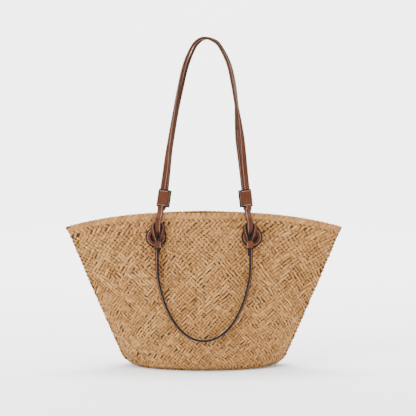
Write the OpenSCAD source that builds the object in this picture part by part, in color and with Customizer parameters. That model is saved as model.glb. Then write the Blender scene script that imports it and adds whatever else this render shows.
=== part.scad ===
// Woven beach bag: an oval-based plaited basket, two long shoulder straps gathered by
// two leather keepers, and a short hanging handle on each face.
// X runs along the mouth, Y from front (-) to back (+), Z up. The bag stands on Z = 0.

/* [Basket] */
// Length of the mouth from corner to corner
rim_length = 460; // [430:1:480]
// Height of the rim at its middle
rim_height = 259; // [252:1:266]
// How much lower the rim's two corners hang
rim_drop = 24; // [16:1:30]
// Depth of the mouth at its middle, front to back
mouth_depth = 68; // [60:1:76]
// Length of the flat oval base
base_length = 206; // [196:1:216]
// Width of the flat oval base
base_width = 80; // [74:1:86]
// Thickness of the plaited wall
wall = 4; // [3:0.5:5]
// Share of the mouth's depth that the straps pinch in
pinch = 0.66; // [0.5:0.02:0.7]

/* [Leather discs] */
// Distance from the middle to each disc
disc_x = 80; // [78:0.5:82]
// Height of the disc centres
disc_z = 218; // [214:1:222]
// Diameter of a disc
disc_d = 35.6; // [32:0.2:38]
// Thickness of a disc
disc_t = 2.4; // [2:0.1:2.8]
// Diameter of the hole that a strap passes through
hole_d = 15.6; // [14:0.2:16]

/* [Shoulder straps] */
// Width of a shoulder strap
strap_w = 10; // [9:0.5:10.5]
// Thickness of a shoulder strap
strap_t = 4.5; // [4:0.1:4.8]
// Height of the middle of the straps at the top of the arch
arch_top = 549; // [535:1:560]

/* [Keepers] */
// Height of the big keepers' lower edge
keeper_z = 267.6; // [267:0.2:269]
// Length of a big keeper along the straps
keeper_h = 29; // [26:1:32]
// Leather thickness of a big keeper
keeper_t = 1.8; // [1.4:0.1:2.1]
// Width of the stitched fin of a big keeper
fin_w = 3.8; // [3:0.1:4.5]

/* [Short handles] */
// Width of a short handle's strap
handle_w = 9.2; // [8.5:0.1:9.5]
// Thickness of a short handle's strap
handle_t = 3.4; // [2.8:0.1:3.6]
// Height of the lowest point of a hanging short handle
handle_low_z = 50; // [40:1:70]
// Height of the small keepers
small_keeper_h = 14; // [12:0.5:15]
// Leather thickness of a small keeper
small_keeper_leather = 1.4; // [1:0.1:1.5]

/* [Hidden] */

FRONT = -1;
BACK = 1;
LEFT = -1;
RIGHT = 1;
straw = [0.80, 0.66, 0.45];
tan_leather = [0.56, 0.35, 0.21];

// ---- the basket's surface ------------------------------------------------------------
rim_edge_t = 4;
end_r = 36;
end_sweep = 66.25;
mid_r = 30;
mid_sweep = 99;
arc_share = 0.16;
pinch_width = 48;
around = 36;
levels = [0, 0.04, 0.08, 0.12, 0.16, 0.26, 0.36, 0.46, 0.56, 0.66, 0.76, 0.84, 0.92, 1];
inner_levels = [for (s = levels) if (s > 0.03) s];

function mix(a, b, t) = a + (b - a) * t;
function ease(t) = let (c = max(0, min(1, t))) c * c * (3 - 2 * c);
// A profile starts as an arc above the base's edge and goes on straight to its rim point.
function profile(s, start, r, sweep, rim_point) =
    let (a = sweep * min(s / arc_share, 1), p = [start + r * sin(a), r - r * cos(a)])
    s <= arc_share ? p : mix(p, rim_point, (s - arc_share) / (1 - arc_share));
function end_profile(s) = profile(s, base_length / 2, end_r, end_sweep,
    [rim_length / 2 - 1.5, rim_height - rim_drop - rim_edge_t]);
function mid_profile(s) = profile(s, base_width / 2, mid_r, mid_sweep,
    [mouth_depth / 2, rim_height - rim_edge_t]);
function pinch_at(s, x) = 1 - pinch * ease((s - 0.35) / 0.65) * (1 - exp(-pow(x / pinch_width, 2)));
function half_depth(s, x) =
    let (w = min(1, abs(x) / end_profile(s).x))
    mid_profile(s).x * pow(1 - w * w, mix(0.5, 0.8, s)) * pinch_at(s, x);
function level_z(s, x) =
    let (w = min(1, abs(x) / end_profile(s).x))
    mix(mid_profile(s).y, end_profile(s).y, pow(w, 2.7));
function outer_point(s, w, face) =
    let (x = end_profile(s).x * w)
    [x, face * half_depth(s, x), level_z(s, x)];
function inner_point(s, w, face, up = 0) =
    let (x = (end_profile(s).x - mix(wall, 17, pow(s, 3))) * w)
    [x, face * max(0.8, half_depth(s, x) - wall) * (1 - pow(abs(w), 24)),
     max(wall, level_z(s, x)) + up];
// One closed ring of points, front side from left to right and then back.
function ring_of(s, inside, up = 0) = [for (i = [0:2 * around - 1])
    let (w = -cos(180 * i / around), face = i <= around ? FRONT : BACK)
    inside ? inner_point(s, w, face, up) : outer_point(s, w, face) + [0, 0, up]];

// Height to level, then level to depth: where the wall's outer face is at a given X and Z.
function level_of(x, z, s = 0.5, left = 9) =
    left == 0 ? s : level_of(x, z, max(0.02, min(1, s + (z - level_z(s, x)) / 262)), left - 1);
function wall_depth(x, z) = half_depth(level_of(x, z), x);
function wall_normal(x, z, face) =
    let (dx = (wall_depth(x + 2, z) - wall_depth(x - 2, z)) / 4,
         dz = (wall_depth(x, z + 2) - wall_depth(x, z - 2)) / 4)
    unit([-dx, face, -dz]);

function unit(v) = v / norm(v);
function flatten(lists) = [for (l = lists) for (p = l) p];

// ---- solids from rings ---------------------------------------------------------------
// Triangles between ring k and the next one, or ring m, each ring with n points.
function band(k, n, m = -1) = [for (i = [0:n - 1])
    let (a = k * n + i, b = k * n + (i + 1) % n, up = (m < 0 ? n : (m - k) * n))
    each [[a, a + up, b + up], [a, b + up, b]]];
function reversed(faces) = [for (f = faces) [for (i = [len(f) - 1:-1:0]) f[i]]];
function cap(k, n) = [for (i = [0:n - 1]) k * n + i];

// A strap: a flat section swept along its points, each with the direction of its width.
module strap_along(points, width_dirs, w, t) {
    last = len(points) - 1;
    rings = [for (i = [0:last])
        let (ahead = unit(points[min(i + 1, last)] - points[max(i - 1, 0)]),
             side = unit(width_dirs[i] - ahead * (width_dirs[i] * ahead)),
             up = cross(ahead, side))
        [for (c = [[-1, -1], [1, -1], [1, 1], [-1, 1]])
            points[i] + side * c.x * w / 2 + up * c.y * t / 2]];
    polyhedron(flatten(rings), concat([cap(0, 4)], [for (k = [0:last - 1]) each band(k, 4)],
        reversed([cap(last, 4)])), convexity = 8);
}

// A smooth curve through the given points, with steps points to each span.
function curve(p, steps) = concat([for (i = [0:len(p) - 2]) for (j = [0:steps - 1])
    let (a = p[max(i - 1, 0)], b = p[i], c = p[i + 1], d = p[min(i + 2, len(p) - 1)], t = j / steps)
    0.5 * (2 * b + (c - a) * t + (2 * a - 5 * b + 4 * c - d) * t * t
        + (3 * b - a - 3 * c + d) * t * t * t)], [p[len(p) - 1]]);

// ---- where the discs sit -------------------------------------------------------------
// A disc lies flat on the wall, leaning back by disc_lean and turned outwards by disc_turn.
disc_lean = 11;
disc_turn = 8.5;
disc_y = wall_depth(disc_x, disc_z) + 0.6;
module on_disc(side, face, turn = disc_turn) {
    across = [cos(turn), -side * face * sin(turn), 0];
    up_wall = [-side * sin(turn) * sin(disc_lean), -face * cos(turn) * sin(disc_lean), cos(disc_lean)];
    out = [side * sin(turn) * cos(disc_lean), face * cos(turn) * cos(disc_lean), sin(disc_lean)];
    at = [side * disc_x, face * disc_y, disc_z];
    multmatrix([for (k = [0:2]) [across[k], up_wall[k], out[k], at[k]]])
        children();
}
// Straps use the same place without the turn: x outwards, n out of the wall, t up the wall.
function from_disc(side, face, x, n, t) = [side * (disc_x + x),
    face * (disc_y + n * cos(disc_lean) - t * sin(disc_lean)),
    disc_z + n * sin(disc_lean) + t * cos(disc_lean)];

// ---- routes --------------------------------------------------------------------------
// A lead, from its tail inside the wall, out through the hole and up to the rim: [x, n, t].
lead_route = [[-1, -9.8, -24], [-1, -9.8, -14], [-1, -9.8, -6.5], [-1, -8.4, -2.6], [-1, -5, -0.6],
    [-0.6, -1, -0.2], [-0.4, 2.4, 0.1], [-2.2, 5.2, 3.2], [-3.2, 9, 7.2], [-3.5, 13.8, 12.4],
    [-3.5, 18, 18], [-4, 19.8, 23], [-5, 19.9, 28], [-6, 17, 31.8]];

// The middle line of the pair of shoulder straps, as [X, Z].
arch_route = [[-71, 266.8], [-66, 299], [-61, 332], [-56, 365], [-46, 426], [-39, 465], [-30, 503],
    [-19, 532], [-8, 545], [5, arch_top], [17, 545], [28, 537], [44, 508], [53, 473], [57, 435],
    [61, 385], [65, 345], [69, 305], [73, 266.8]];
// For each point above: how far the front strap lies outside the back one, and their twist.
arch_spread = [2, 2, 2, 2, 3, 3.5, 4, 4, 2.5, 0, -2, -3, -3, -2.5, 0, 2.6, 2, 2, 2];
arch_twist = [0, 0, 0, 5, 40, 65, 80, 90, 90, 90, 90, 90, 90, 85, 70, 35, 5, 0, 0];
// Half the distance between the two straps' middle planes, front to back.
arch_gap = [2.6, 2.6, 2.6, 2.8, 4.6, 5.4, 5.4, 5.4, 5.4, 5.4, 5.4, 5.4, 5.4, 5.4, 5.7, 4.6, 2.8,
    2.6, 2.6];
arch_steps = 4;

// The loop of a short handle round its lead, in a disc's x and t, from the tail's side over
// the top to the standing side. Its middle is loop_x from the disc and loop_n off the wall.
loop_x = -3.5;
loop_n = 10.2;
loop_route = [[1.9, -14], [1.9, -7.5], [9.4, -0.5], [10.2, 8], [8, 17], [0, 22.5], [-8, 17],
    [-10.2, 8], [-9.4, -0.5], [-1.9, -7.5], [-1.9, -14], [-1.9, -20], [-1.9, -28]];
left_tail_t = -27;
right_tail_t = -32;
small_keeper_t = -8;
// The standing part follows the wall down and across as a half ellipse: [X, Z].
handle_half = disc_x + loop_x + 1.9;
handle_top_z = 190;
handle_stand = 7;
handle_span = [for (a = [14:7.6:166]) [-handle_half * cos(a),
    handle_top_z - (handle_top_z - handle_low_z) * sin(a)]];

// ---- parts ---------------------------------------------------------------------------
module woven_basket() {
    n = 2 * around;
    rings = concat([for (s = levels) ring_of(s, false)],
        [for (i = [len(inner_levels) - 1:-1:0]) ring_of(inner_levels[i], true)]);
    last = len(rings) - 1;
    color(straw) difference() {
        polyhedron(flatten(rings), concat([cap(0, n)],
            [for (k = [0:last - 1]) each band(k, n)], reversed([cap(last, n)])), convexity = 6);
        for (side = [LEFT, RIGHT], face = [FRONT, BACK])
            on_disc(side, face) translate([0, 0, -9]) cylinder(d = hole_d + 0.6, h = 12, $fn = 48);
    }
}

module rim_edge() {
    n = 2 * around;
    gap = 0.1;
    rings = [ring_of(1, false, gap), ring_of(1, false, rim_edge_t), ring_of(1, true, rim_edge_t),
        ring_of(1, true, gap)];
    color(straw) polyhedron(flatten(rings), concat([for (k = [0:2]) each band(k, n)],
        band(3, n, 0)), convexity = 6);
}

module disc(side, face) {
    color(tan_leather) on_disc(side, face) difference() {
        cylinder(d = disc_d, h = disc_t, $fn = 96);
        translate([0, 0, -1]) cylinder(d = hole_d, h = disc_t + 2, $fn = 48);
    }
}

// The patch inside the wall that the strap's tail is sewn to.
module backing(side, face) {
    patch_t = 1.6;
    patch_n = -wall - 2.6;
    tail_drop = 18;
    color(tan_leather) on_disc(side, face) translate([0, 0, patch_n]) difference() {
        union() {
            cylinder(d = 28, h = patch_t, $fn = 64);
            translate([0, -tail_drop, 0]) cylinder(d = 22, h = patch_t, $fn = 64);
            translate([-11, -tail_drop, 0]) cube([22, tail_drop, patch_t]);
        }
        translate([0, 0, -1]) cylinder(d = hole_d, h = patch_t + 2, $fn = 48);
    }
}

module lead(side, face) {
    points = [for (p = curve(lead_route, 2)) from_disc(side, face, p.x, p.y, p.z)];
    color(tan_leather) strap_along(points, [for (p = points) [side, 0, 0]], strap_w, strap_t);
}

module shoulder_strap(face) {
    middle = curve(arch_route, arch_steps);
    spread = curve(arch_spread, arch_steps);
    twist = curve(arch_twist, arch_steps);
    gap = curve(arch_gap, arch_steps);
    last = len(middle) - 1;
    // Across the arch, pointing outwards on both legs.
    outward = [for (i = [0:last]) let (d = unit(middle[min(i + 1, last)] - middle[max(i - 1, 0)]))
        [-d.y, 0, d.x]];
    points = [for (i = [0:last]) [middle[i].x, 0, middle[i].y]
        - outward[i] * face * spread[i] + [0, face * gap[i], 0]];
    dirs = [for (i = [0:last]) outward[i] * cos(twist[i]) + [0, 1, 0] * sin(twist[i])];
    color(tan_leather) strap_along(points, dirs, strap_w, strap_t);
}

// A leather sleeve round both straps, with its two ends sewn together in a fin.
module big_keeper(side) {
    inner_w = strap_w + 4.8;
    inner_d = 2 * strap_t + 1.6;
    foot = side == LEFT ? arch_route[0] : arch_route[len(arch_route) - 1];
    next = side == LEFT ? arch_route[1] : arch_route[len(arch_route) - 2];
    lean = atan2(next.x - foot.x, next.y - foot.y);
    color(tan_leather) translate([foot.x, 0, keeper_z]) rotate([0, lean, 0]) {
        difference() {
            translate([-inner_w / 2 - keeper_t, -inner_d / 2 - keeper_t, 0])
                cube([inner_w + 2 * keeper_t, inner_d + 2 * keeper_t, keeper_h]);
            translate([-inner_w / 2, -inner_d / 2, -1])
                cube([inner_w, inner_d, keeper_h + 2]);
        }
        translate([-side * (inner_w / 2 + keeper_t + fin_w / 2) - fin_w / 2, -keeper_t, 0])
            cube([fin_w, 2 * keeper_t, keeper_h]);
    }
}

// One short handle: up through the left keeper, round the left lead, down, along the wall
// in a hanging curve, up to the right lead, round it and down through the right keeper.
module short_handle(face) {
    loop_side = function (side)
        [for (p = curve(concat([[1.9, side == LEFT ? left_tail_t : right_tail_t]], loop_route), 2))
            from_disc(side, face, loop_x - p.x, loop_n, p.y)];
    sweep = [for (p = handle_span) [p.x, face * wall_depth(p.x, p.y), p.y]
        + wall_normal(p.x, p.y, face) * handle_stand];
    left = loop_side(LEFT);
    right = loop_side(RIGHT);
    points = concat(left, sweep, [for (i = [len(right) - 1:-1:0]) right[i]]);
    lean_dir = [0, face * cos(disc_lean), sin(disc_lean)];
    dirs = concat([for (p = left) lean_dir], [for (p = handle_span) wall_normal(p.x, p.y, face)],
        [for (p = right) lean_dir]);
    color(tan_leather) strap_along(points, dirs, handle_w, handle_t);
}

module small_keeper(side, face) {
    clear = 0.3;
    inner_x = 2 * handle_t + 0.4 + 2 * clear;
    inner_n = handle_w + 2 * clear;
    color(tan_leather) on_disc(side, face, 0)
        translate([side * loop_x, small_keeper_t - small_keeper_h, loop_n]) difference() {
            translate([-inner_x / 2 - small_keeper_leather, 0, -inner_n / 2 - small_keeper_leather])
                cube([inner_x + 2 * small_keeper_leather, small_keeper_h,
                    inner_n + 2 * small_keeper_leather]);
            translate([-inner_x / 2, -1, -inner_n / 2])
                cube([inner_x, small_keeper_h + 2, inner_n]);
        }
}

woven_basket();
rim_edge();
disc(LEFT, FRONT);  // front_left_disc
disc(RIGHT, FRONT);  // front_right_disc
disc(LEFT, BACK);  // back_left_disc
disc(RIGHT, BACK);  // back_right_disc
backing(LEFT, FRONT);  // front_left_backing
backing(RIGHT, FRONT);  // front_right_backing
backing(LEFT, BACK);  // back_left_backing
backing(RIGHT, BACK);  // back_right_backing
lead(LEFT, FRONT);  // front_left_lead
lead(RIGHT, FRONT);  // front_right_lead
lead(LEFT, BACK);  // back_left_lead
lead(RIGHT, BACK);  // back_right_lead
shoulder_strap(FRONT);  // front_shoulder_strap
shoulder_strap(BACK);  // back_shoulder_strap
big_keeper(LEFT);  // left_keeper
big_keeper(RIGHT);  // right_keeper
short_handle(FRONT);  // front_handle
short_handle(BACK);  // back_handle
small_keeper(LEFT, FRONT);  // front_left_small_keeper
small_keeper(RIGHT, FRONT);  // front_right_small_keeper
small_keeper(LEFT, BACK);  // back_left_small_keeper
small_keeper(RIGHT, BACK);  // back_right_small_keeper
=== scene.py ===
import math

import bpy
import numpy as np
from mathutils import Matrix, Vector


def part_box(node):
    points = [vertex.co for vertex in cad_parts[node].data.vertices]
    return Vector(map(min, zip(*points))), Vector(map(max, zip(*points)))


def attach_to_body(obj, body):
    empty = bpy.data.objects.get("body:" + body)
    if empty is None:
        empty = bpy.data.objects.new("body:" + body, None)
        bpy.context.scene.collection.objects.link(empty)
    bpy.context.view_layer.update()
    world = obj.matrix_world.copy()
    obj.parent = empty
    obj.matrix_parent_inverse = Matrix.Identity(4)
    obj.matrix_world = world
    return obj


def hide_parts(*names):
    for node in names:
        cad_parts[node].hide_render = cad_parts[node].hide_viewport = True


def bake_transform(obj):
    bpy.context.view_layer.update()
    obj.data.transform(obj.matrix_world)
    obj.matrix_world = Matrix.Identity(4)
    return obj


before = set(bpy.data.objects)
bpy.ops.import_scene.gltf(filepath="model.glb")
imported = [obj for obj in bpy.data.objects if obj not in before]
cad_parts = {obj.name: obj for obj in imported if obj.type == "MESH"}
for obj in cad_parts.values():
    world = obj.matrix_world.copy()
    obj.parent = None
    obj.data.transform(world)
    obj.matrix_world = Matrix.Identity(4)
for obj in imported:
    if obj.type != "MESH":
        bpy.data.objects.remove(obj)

# Shapes are worked out in millimetres, in the frame of the CAD model, and turned into
# metres where a mesh is made. FRONT is -Y and LEFT is -X.
MM = 0.001
FRONT, BACK, LEFT, RIGHT = -1, 1, -1, 1
SIDES = ((LEFT, "left"), (RIGHT, "right"))
rng = np.random.default_rng(11)
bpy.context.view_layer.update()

# ---- the basket's surface
# It has the CAD model's form, with a base that is fuller to the front and back.
basket_high = np.array(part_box("woven_basket")[1]) / MM
RIM_HALF = basket_high[0]
RIM_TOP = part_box("rim_edge")[1].z / MM
WALL_TOP = basket_high[2]
# The fall of the rim towards its ends, and half the mouth's depth in the middle.
RIM_DROP = 24.0
MOUTH_HALF = 34.0
BASE_HALF_X, BASE_HALF_Y = 103.0, 53.0
# The rounding between base and wall, at the narrow ends and in the middle of the faces:
# its radius, how many degrees it turns and its share of the levels.
END_R, END_SWEEP, MID_R, MID_SWEEP = 36.0, 66.25, 17.0, 99.0
ARC_SHARE = 0.16
# Away from its middle the mouth draws together, by this share and from this distance.
PINCH, PINCH_WIDTH = 0.66, 48.0
# The wall is this thick, and measures this much from base to rim, up the slope.
WALL, WALL_SLANT = 4.0, 262.0
# How much wider than the CAD model's the wall is at each end, low down and on top.
END_EXTRA_LOW, END_EXTRA_TOP = 4.2, 0.6


def mix(a, b, t):
    """From a at t = 0 to b at t = 1."""
    return a + (b - a) * t


def ease(t):
    """From 0 to 1 with a soft start and end."""
    c = np.clip(t, 0, 1)
    return c * c * (3 - 2 * c)


def unit(v):
    """Vectors scaled to length 1."""
    v = np.asarray(v, float)
    return v / np.maximum(np.linalg.norm(v, axis=-1, keepdims=True), 1e-9)


def run_along(points):
    """How far along its polyline each point lies, from 0 at the first."""
    return np.concatenate([[0], np.cumsum(np.linalg.norm(np.diff(points, axis=0), axis=1))])


def profile(s, start, r, sweep, rim_out, rim_z):
    """Distance out and height at level s: an arc off the base, then straight to the rim."""
    a = np.radians(sweep) * np.minimum(s / ARC_SHARE, 1)
    t = np.clip((s - ARC_SHARE) / (1 - ARC_SHARE), 0, 1)
    return mix(start + r * np.sin(a), rim_out, t), mix(r - r * np.cos(a), rim_z, t)


def end_profile(s):
    """The wall's profile at its narrow ends."""
    return profile(s, BASE_HALF_X, END_R, END_SWEEP, RIM_HALF, WALL_TOP - RIM_DROP)


def mid_profile(s):
    """The wall's profile in the middle of its front and back."""
    return profile(s, BASE_HALF_Y, MID_R, MID_SWEEP, MOUTH_HALF, WALL_TOP)


def half_depth(s, x):
    """How far the outside of the wall lies from the middle plane, at level s."""
    w = np.minimum(1, np.abs(x) / end_profile(s)[0])
    pinched = 1 - PINCH * ease((s - 0.35) / 0.65) * (1 - np.exp(-(x / PINCH_WIDTH) ** 2))
    return mid_profile(s)[0] * (1 - w * w) ** mix(0.5, 0.8, s) * pinched


def level_z(s, x):
    """The height of level s, which falls away towards the narrow ends."""
    w = np.minimum(1, np.abs(x) / end_profile(s)[0])
    return mix(mid_profile(s)[1], end_profile(s)[1], w ** 2.7)


def wall_depth(x, z):
    """How far the outside of the wall lies from the middle plane, at height z."""
    s = 0.5
    for _ in range(9):
        s = max(0.02, min(1, s + (z - level_z(s, x)) / WALL_SLANT))
    return float(half_depth(s, x))


def wall_normal(x, z, face):
    """The direction straight out of the wall."""
    dx = (wall_depth(x + 2, z) - wall_depth(x - 2, z)) / 4
    dz = (wall_depth(x, z + 2) - wall_depth(x, z - 2)) / 4
    return unit(np.array([-dx, face, -dz]))


class Wall:
    """The middle of the plaited wall, by level (0 at the base, 1 at the rim) and by the
    share of the way round, which starts at the left corner and runs along the front."""

    def __init__(self, levels=161, around=960):
        self.levels, self.around = levels, around
        rows = []
        w = -np.cos(np.linspace(0, math.pi, 700))
        for s in np.linspace(0, 1, levels):
            x = (end_profile(s)[0] + mix(END_EXTRA_LOW, END_EXTRA_TOP, s ** 3)) * w
            y = np.maximum(1.0, half_depth(s, x) - WALL / 2) * (1 - np.abs(w) ** 24)
            z = np.maximum(WALL / 2, level_z(s, x))
            front = np.stack([x, -y, z], 1)
            loop = np.concatenate([front, (front * [1, -1, 1])[-2::-1]])
            run = run_along(loop)
            share = np.linspace(0, run[-1], around + 1)[:-1]
            rows.append(np.stack([np.interp(share, run, loop[:, k]) for k in range(3)], 1))
        self.p = np.array(rows)
        round_way = np.roll(self.p, -2, 1) - np.roll(self.p, 2, 1)
        self.n = unit(np.cross(round_way, np.gradient(self.p, axis=0)))
        steps = np.diff(self.p, axis=1, append=self.p[:, :1])
        self.length = np.linalg.norm(steps, axis=2).sum(1)

    def at(self, s, a):
        """Positions and normals at levels s and shares of the way round a."""
        f = np.clip(s, 0, 1) * (self.levels - 1)
        i = np.minimum(f.astype(int), self.levels - 2)
        f = (f - i)[:, None]
        g = (a % 1) * self.around
        j = g.astype(int) % self.around
        g = (g - np.floor(g))[:, None]
        k = (j + 1) % self.around
        out = []
        for grid in (self.p, self.n):
            low = grid[i, j] * (1 - g) + grid[i, k] * g
            high = grid[i + 1, j] * (1 - g) + grid[i + 1, k] * g
            out.append(low * (1 - f) + high * f)
        return out[0], unit(out[1])


# ---- mesh helpers
def show(name, data):
    """A new object in the scene."""
    obj = bpy.data.objects.new(name, data)
    bpy.context.scene.collection.objects.link(obj)
    return obj


def make_mesh(name, points, faces, materials, face_material=None, grain=None, shade=None):
    """One mesh object from points in mm. faces is an array of quads or a list of faces of
    any size. grain gives each point (run, across, tint), and shade how light it is painted
    as painted shade."""
    mesh = bpy.data.meshes.new(name)
    points = np.asarray(points, float)
    mesh.vertices.add(len(points))
    mesh.vertices.foreach_set("co", (points * MM).astype(np.float32).ravel())
    if isinstance(faces, list):
        sizes = np.array([len(f) for f in faces], np.int32)
        flat = np.concatenate([np.asarray(f, np.int32) for f in faces])
    else:
        sizes = np.full(len(faces), faces.shape[1], np.int32)
        flat = faces.astype(np.int32).ravel()
    starts = np.concatenate([[0], np.cumsum(sizes)[:-1]]).astype(np.int32)
    mesh.loops.add(len(flat))
    mesh.loops.foreach_set("vertex_index", flat)
    mesh.polygons.add(len(sizes))
    mesh.polygons.foreach_set("loop_start", starts)
    mesh.polygons.foreach_set("loop_total", sizes)
    for m in materials:
        mesh.materials.append(m)
    if face_material is not None:
        mesh.polygons.foreach_set("material_index", np.asarray(face_material, np.int32))
    mesh.update(calc_edges=True)
    mesh.polygons.foreach_set("use_smooth", np.ones(len(sizes), bool))
    for label, kind, field, values in (("grain", "FLOAT_VECTOR", "vector", grain),
                                       ("shade", "FLOAT", "value", shade)):
        if values is not None:
            attribute = mesh.attributes.new(label, kind, "POINT")
            attribute.data.foreach_set(field, np.asarray(values, np.float32).ravel())
    mesh.validate()
    return show(name, mesh)


def attach(piece, body, slot, *nodes):
    """Ties a piece to the body it moves with and hides the CAD solids it stands for. slot is not
    used.
    """
    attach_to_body(piece, body)
    if nodes:
        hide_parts(*nodes)


def quads(firsts, seconds, n):
    """Quads between pairs of rings of n points, given the rings' first points."""
    k, m = firsts[:, None], seconds[:, None]
    i = np.arange(n)[None, :]
    j = (i + 1) % n
    return np.stack([k + i, k + j, m + j, m + i], 2).reshape(-1, 4)


def tube_faces(rings, n, first=0):
    """The quads of a tube made of rings of n points, and one face on each of its ends."""
    k = np.arange(rings - 1) * n + first
    faces = quads(k, k + n, n).tolist()
    faces.append([first + m for m in range(n - 1, -1, -1)])
    faces.append([first + (rings - 1) * n + m for m in range(n)])
    return faces


def hollow_faces(rings, n):
    """The quads of a closed hollow form: rings of n points, the last joined to the first."""
    k = np.arange(rings) * n
    return quads(k, np.roll(k, -1), n)


def curve(points, steps):
    """A smooth curve through the points, with steps points to each span."""
    p = np.asarray(points, float)
    if p.ndim == 1:
        p = p[:, None]
    out, last = [], len(p) - 1
    for i in range(last):
        a, b, c, d = p[max(i - 1, 0)], p[i], p[i + 1], p[min(i + 2, last)]
        for j in range(steps):
            t = j / steps
            out.append(0.5 * (2 * b + (c - a) * t + (2 * a - 5 * b + 4 * c - d) * t * t
                              + (3 * b - a - 3 * c + d) * t ** 3))
    out.append(p[-1])
    return np.array(out)


def frames_along(points, width_dirs):
    """The directions across and up of a strip, at each point of its route."""
    ahead = unit(np.gradient(points, axis=0))
    side = unit(width_dirs - ahead * (width_dirs * ahead).sum(1, keepdims=True))
    return side, np.cross(ahead, side)


# ---- plaited straw
# Strands of each family, and on the rim.
STRANDS = 112
# Between these shares of the height the strands float over several others.
OPEN_FROM, OPEN_TO = 0.29, 0.80
LEVEL_ROWS = 10
STRAND_THICK, WEAVE_HEIGHT = 1.8, 1.15
# Points along a strand from one crossing to the next.
STEPS = 3
# A strand's section, in half widths and thicknesses, and how light each point is painted as shade.
SECTION = np.array([[-1, -0.28], [-0.62, 0.3], [0, 0.5], [0.62, 0.3], [1, -0.28], [0, -0.5]])
PAINTED_EDGE_SHADE = np.array([0.25, 0.8, 1.0, 0.8, 0.25, 0.1])
# How far down the outside and the inside the rim's strands reach.
RIM_REACH, RIM_REACH_INSIDE = 6.0, 9.0


def strand_mesh(centre, normal, ahead, half_width, thick, tint, shade=None):
    """Points, grain and painted shade of one flat strand. The grain is how far along and across
    it a point is, and its tone. The painted shade is dark where it dips or rolls over at its edges."""
    side = unit(np.cross(normal, ahead))
    up = np.cross(ahead, side)
    pts = (centre[:, None] + side[:, None] * (SECTION[None, :, :1] * half_width[:, None, None])
           + up[:, None] * (SECTION[None, :, 1:] * thick[:, None, None]))
    grain = np.zeros((len(centre), len(SECTION), 3))
    # Each strand reads another part of the noise, so that no two are alike.
    grain[:, :, 0] = run_along(centre)[:, None] + tint * 997.0
    grain[:, :, 1] = SECTION[None, :, 0] * half_width[:, None]
    grain[:, :, 2] = tint
    top = np.ones(len(centre)) if shade is None else shade
    return pts.reshape(-1, 3), grain.reshape(-1, 3), (top[:, None] * PAINTED_EDGE_SHADE).ravel()


def strands_object(name, strands, material):
    """Many strands as one object, with two quads on each end of a strand."""
    faces, first = [], 0
    n = len(SECTION)
    for points, _, _ in strands:
        corners = np.arange(len(points)) + first
        faces.append(quads(corners[:-n:n], corners[n::n], n)[:, [0, 3, 2, 1]])
        for end in (corners[:n], corners[:-n - 1:-1]):
            faces.append(np.array([end[:4], end[[0, 3, 4, 5]]]))
        first += len(points)
    points, grain, shade = (np.concatenate([s[k] for s in strands]) for k in range(3))
    return make_mesh(name, points, np.concatenate(faces), [material], grain=grain, shade=shade)


def level_of_rows(wall):
    """The level of each row of crossings, so that the strands cross at right angles."""
    s = np.linspace(0, 1, wall.levels)
    mid = np.stack(mid_profile(s), 1)
    step = np.concatenate([[0], np.linalg.norm(np.diff(mid, axis=0), axis=1)])
    row_height = 0.5 * wall.length / STRANDS
    rows = np.cumsum(step / row_height)
    count = int(round(rows[-1]))
    return np.interp(np.linspace(0, count, count * STEPS + 1), rows * count / rows[-1], s), count


def over_pattern(rows):
    """Where rising strand i lies on top of the one it crosses in row r, and which crossings
    are in the open zone. There, blocks of strands run over three others at a time, some
    leaning one way and some the other. Above it the plait is plain."""
    i = np.arange(STRANDS)[:, None]
    r = np.arange(rows + 1)[None, :]
    j = i + r
    plain = np.broadcast_to((r % 2) == 0, (STRANDS, rows + 1))
    block = 4
    kind = rng.random((STRANDS // block + 2, (STRANDS + rows) // block + 2))[i // block, j // block]
    low = int(rows * OPEN_FROM) + rng.integers(-3, 4, (STRANDS, 1))
    high = int(rows * OPEN_TO) + rng.integers(-3, 4, (STRANDS, 1))
    open_zone = (r > low) & (r < high)
    rising = ((j + i) % 4) != 0
    falling = ((i - j) % 4) == 0
    over = np.where(open_zone & (kind < 0.36), rising, plain)
    over = np.where(open_zone & (kind > 0.64), falling, over)
    # Over the base the strands run in pairs. The last courses under the rim are short
    # strokes in level rows, which all lean the same way.
    over = np.where(r <= low, (i // 2 + j // 2) % 2 == 0, over)
    return np.where(r > rows - LEVEL_ROWS, (rows - r) % 3 != 2, over), open_zone


def soft_noise(rows, reach_across, reach_up):
    """Smooth noise of about unit size on the grid of crossings, with no seam round the bag."""
    noise = rng.normal(0, 1, (STRANDS, rows + 1))
    for axis, reach in ((0, reach_across), (1, reach_up)):
        total = sum(np.roll(noise, k, axis) for k in range(-reach, reach + 1))
        noise = total / math.sqrt(2 * reach + 1)
    return noise


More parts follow.
